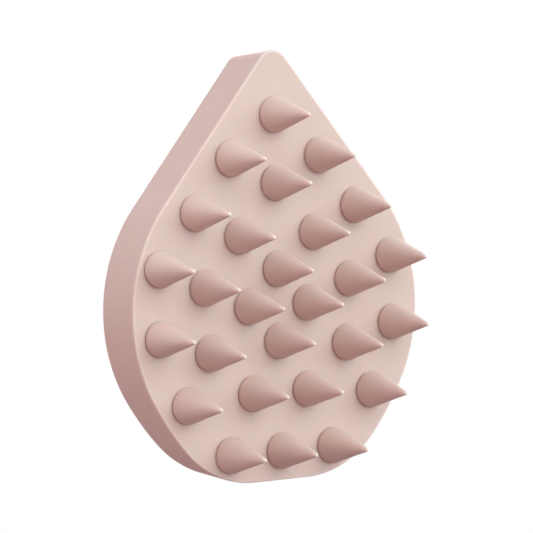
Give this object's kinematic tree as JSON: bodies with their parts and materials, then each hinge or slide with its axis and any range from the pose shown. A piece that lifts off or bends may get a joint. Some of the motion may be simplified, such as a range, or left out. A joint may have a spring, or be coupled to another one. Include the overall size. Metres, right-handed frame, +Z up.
{
  "type": "scalp massager brush",
  "caption": "Teardrop silicone scalp massager held in the palm, with soft cone bristles on its front face that bend and spring back.",
  "frame": {"origin": "centre of the flat foot, half-way through the body's depth", "axes": "+Z up to the teardrop's tip, -Y out of the bristled face, +X to the right seen from the front"},
  "size_m": [0.0718, 0.0268, 0.09],
  "materials": {
    "body_silicone": "smooth matte silicone",
    "bristle_silicone": "smooth matte silicone",
    "core_plastic": "moulded, natural",
    "cover_plastic": "fine satin",
    "seal_rubber": "smooth",
    "screw_steel": "zinc plated"
  },
  "bodies": {
    "body": {"silicone_body": "body_silicone", "root_plate": "core_plastic", "core_frame": "core_plastic", "back_cover": "cover_plastic", "seal_ring": "seal_rubber", "screws": "screw_steel"},
    "bristle_01": {"bristle_01": "bristle_silicone"},
    "bristle_02": {"bristle_02": "bristle_silicone"},
    "bristle_03": {"bristle_03": "bristle_silicone"},
    "bristle_04": {"bristle_04": "bristle_silicone"},
    "bristle_05": {"bristle_05": "bristle_silicone"},
    "bristle_06": {"bristle_06": "bristle_silicone"},
    "bristle_07": {"bristle_07": "bristle_silicone"},
    "bristle_08": {"bristle_08": "bristle_silicone"},
    "bristle_09": {"bristle_09": "bristle_silicone"},
    "bristle_10": {"bristle_10": "bristle_silicone"},
    "bristle_11": {"bristle_11": "bristle_silicone"},
    "bristle_12": {"bristle_12": "bristle_silicone"},
    "bristle_13": {"bristle_13": "bristle_silicone"},
    "bristle_14": {"bristle_14": "bristle_silicone"},
    "bristle_15": {"bristle_15": "bristle_silicone"},
    "bristle_16": {"bristle_16": "bristle_silicone"},
    "bristle_17": {"bristle_17": "bristle_silicone"},
    "bristle_18": {"bristle_18": "bristle_silicone"},
    "bristle_19": {"bristle_19": "bristle_silicone"},
    "bristle_20": {"bristle_20": "bristle_silicone"},
    "bristle_21": {"bristle_21": "bristle_silicone"},
    "bristle_22": {"bristle_22": "bristle_silicone"},
    "bristle_23": {"bristle_23": "bristle_silicone"},
    "bristle_24": {"bristle_24": "bristle_silicone"},
    "bristle_25": {"bristle_25": "bristle_silicone"},
    "bristle_26": {"bristle_26": "bristle_silicone"},
    "bristle_27": {"bristle_27": "bristle_silicone"}
  },
  "joints": [
    {"name": "bristle_01_flex", "type": "hinge", "parent": "body", "child": "bristle_01", "pos_m": [0, -0.00685, 0.0767], "axis": [1, 0, 0], "range_deg": [-15, 15], "stiffness_Nm_per_rad": 0.04},
    {"name": "bristle_02_flex", "type": "hinge", "parent": "body", "child": "bristle_02", "pos_m": [-0.0112, -0.00685, 0.0679], "axis": [1, 0, 0], "range_deg": [-15, 15], "stiffness_Nm_per_rad": 0.04},
    {"name": "bristle_03_flex", "type": "hinge", "parent": "body", "child": "bristle_03", "pos_m": [0.0112, -0.00685, 0.0679], "axis": [1, 0, 0], "range_deg": [-15, 15], "stiffness_Nm_per_rad": 0.04},
    {"name": "bristle_04_flex", "type": "hinge", "parent": "body", "child": "bristle_04", "pos_m": [0, -0.00685, 0.0625], "axis": [1, 0, 0], "range_deg": [-15, 15], "stiffness_Nm_per_rad": 0.04},
    {"name": "bristle_05_flex", "type": "hinge", "parent": "body", "child": "bristle_05", "pos_m": [-0.0202, -0.00685, 0.057], "axis": [1, 0, 0], "range_deg": [-15, 15], "stiffness_Nm_per_rad": 0.04},
    {"name": "bristle_06_flex", "type": "hinge", "parent": "body", "child": "bristle_06", "pos_m": [0.0202, -0.00685, 0.057], "axis": [1, 0, 0], "range_deg": [-15, 15], "stiffness_Nm_per_rad": 0.04},
    {"name": "bristle_07_flex", "type": "hinge", "parent": "body", "child": "bristle_07", "pos_m": [-0.0094, -0.00685, 0.0518], "axis": [1, 0, 0], "range_deg": [-15, 15], "stiffness_Nm_per_rad": 0.04},
    {"name": "bristle_08_flex", "type": "hinge", "parent": "body", "child": "bristle_08", "pos_m": [0.0094, -0.00685, 0.0518], "axis": [1, 0, 0], "range_deg": [-15, 15], "stiffness_Nm_per_rad": 0.04},
    {"name": "bristle_09_flex", "type": "hinge", "parent": "body", "child": "bristle_09", "pos_m": [-0.0292, -0.00685, 0.0459], "axis": [1, 0, 0], "range_deg": [-15, 15], "stiffness_Nm_per_rad": 0.04},
    {"name": "bristle_10_flex", "type": "hinge", "parent": "body", "child": "bristle_10", "pos_m": [0.0292, -0.00685, 0.0459], "axis": [1, 0, 0], "range_deg": [-15, 15], "stiffness_Nm_per_rad": 0.04},
    {"name": "bristle_11_flex", "type": "hinge", "parent": "body", "child": "bristle_11", "pos_m": [0, -0.00685, 0.0445], "axis": [1, 0, 0], "range_deg": [-15, 15], "stiffness_Nm_per_rad": 0.04},
    {"name": "bristle_12_flex", "type": "hinge", "parent": "body", "child": "bristle_12", "pos_m": [-0.0183, -0.00685, 0.0415], "axis": [1, 0, 0], "range_deg": [-15, 15], "stiffness_Nm_per_rad": 0.04},
    {"name": "bristle_13_flex", "type": "hinge", "parent": "body", "child": "bristle_13", "pos_m": [0.0183, -0.00685, 0.0415], "axis": [1, 0, 0], "range_deg": [-15, 15], "stiffness_Nm_per_rad": 0.04},
    {"name": "bristle_14_flex", "type": "hinge", "parent": "body", "child": "bristle_14", "pos_m": [-0.0074, -0.00685, 0.037], "axis": [1, 0, 0], "range_deg": [-15, 15], "stiffness_Nm_per_rad": 0.04},
    {"name": "bristle_15_flex", "type": "hinge", "parent": "body", "child": "bristle_15", "pos_m": [0.0074, -0.00685, 0.037], "axis": [1, 0, 0], "range_deg": [-15, 15], "stiffness_Nm_per_rad": 0.04},
    {"name": "bristle_16_flex", "type": "hinge", "parent": "body", "child": "bristle_16", "pos_m": [-0.0294, -0.00685, 0.0316], "axis": [1, 0, 0], "range_deg": [-15, 15], "stiffness_Nm_per_rad": 0.04},
    {"name": "bristle_17_flex", "type": "hinge", "parent": "body", "child": "bristle_17", "pos_m": [0.0294, -0.00685, 0.0316], "axis": [1, 0, 0], "range_deg": [-15, 15], "stiffness_Nm_per_rad": 0.04},
    {"name": "bristle_18_flex", "type": "hinge", "parent": "body", "child": "bristle_18", "pos_m": [0, -0.00685, 0.0294], "axis": [1, 0, 0], "range_deg": [-15, 15], "stiffness_Nm_per_rad": 0.04},
    {"name": "bristle_19_flex", "type": "hinge", "parent": "body", "child": "bristle_19", "pos_m": [-0.0173, -0.00685, 0.0279], "axis": [1, 0, 0], "range_deg": [-15, 15], "stiffness_Nm_per_rad": 0.04},
    {"name": "bristle_20_flex", "type": "hinge", "parent": "body", "child": "bristle_20", "pos_m": [0.0173, -0.00685, 0.0279], "axis": [1, 0, 0], "range_deg": [-15, 15], "stiffness_Nm_per_rad": 0.04},
    {"name": "bristle_21_flex", "type": "hinge", "parent": "body", "child": "bristle_21", "pos_m": [-0.0069, -0.00685, 0.0188], "axis": [1, 0, 0], "range_deg": [-15, 15], "stiffness_Nm_per_rad": 0.04},
    {"name": "bristle_22_flex", "type": "hinge", "parent": "body", "child": "bristle_22", "pos_m": [0.0069, -0.00685, 0.0188], "axis": [1, 0, 0], "range_deg": [-15, 15], "stiffness_Nm_per_rad": 0.04},
    {"name": "bristle_23_flex", "type": "hinge", "parent": "body", "child": "bristle_23", "pos_m": [-0.0233, -0.00685, 0.0174], "axis": [1, 0, 0], "range_deg": [-15, 15], "stiffness_Nm_per_rad": 0.04},
    {"name": "bristle_24_flex", "type": "hinge", "parent": "body", "child": "bristle_24", "pos_m": [0.0233, -0.00685, 0.0174], "axis": [1, 0, 0], "range_deg": [-15, 15], "stiffness_Nm_per_rad": 0.04},
    {"name": "bristle_25_flex", "type": "hinge", "parent": "body", "child": "bristle_25", "pos_m": [-0.0129, -0.00685, 0.0063], "axis": [1, 0, 0], "range_deg": [-15, 15], "stiffness_Nm_per_rad": 0.04},
    {"name": "bristle_26_flex", "type": "hinge", "parent": "body", "child": "bristle_26", "pos_m": [0, -0.00685, 0.0063], "axis": [1, 0, 0], "range_deg": [-15, 15], "stiffness_Nm_per_rad": 0.04},
    {"name": "bristle_27_flex", "type": "hinge", "parent": "body", "child": "bristle_27", "pos_m": [0.0129, -0.00685, 0.0063], "axis": [1, 0, 0], "range_deg": [-15, 15], "stiffness_Nm_per_rad": 0.04}
  ]
}
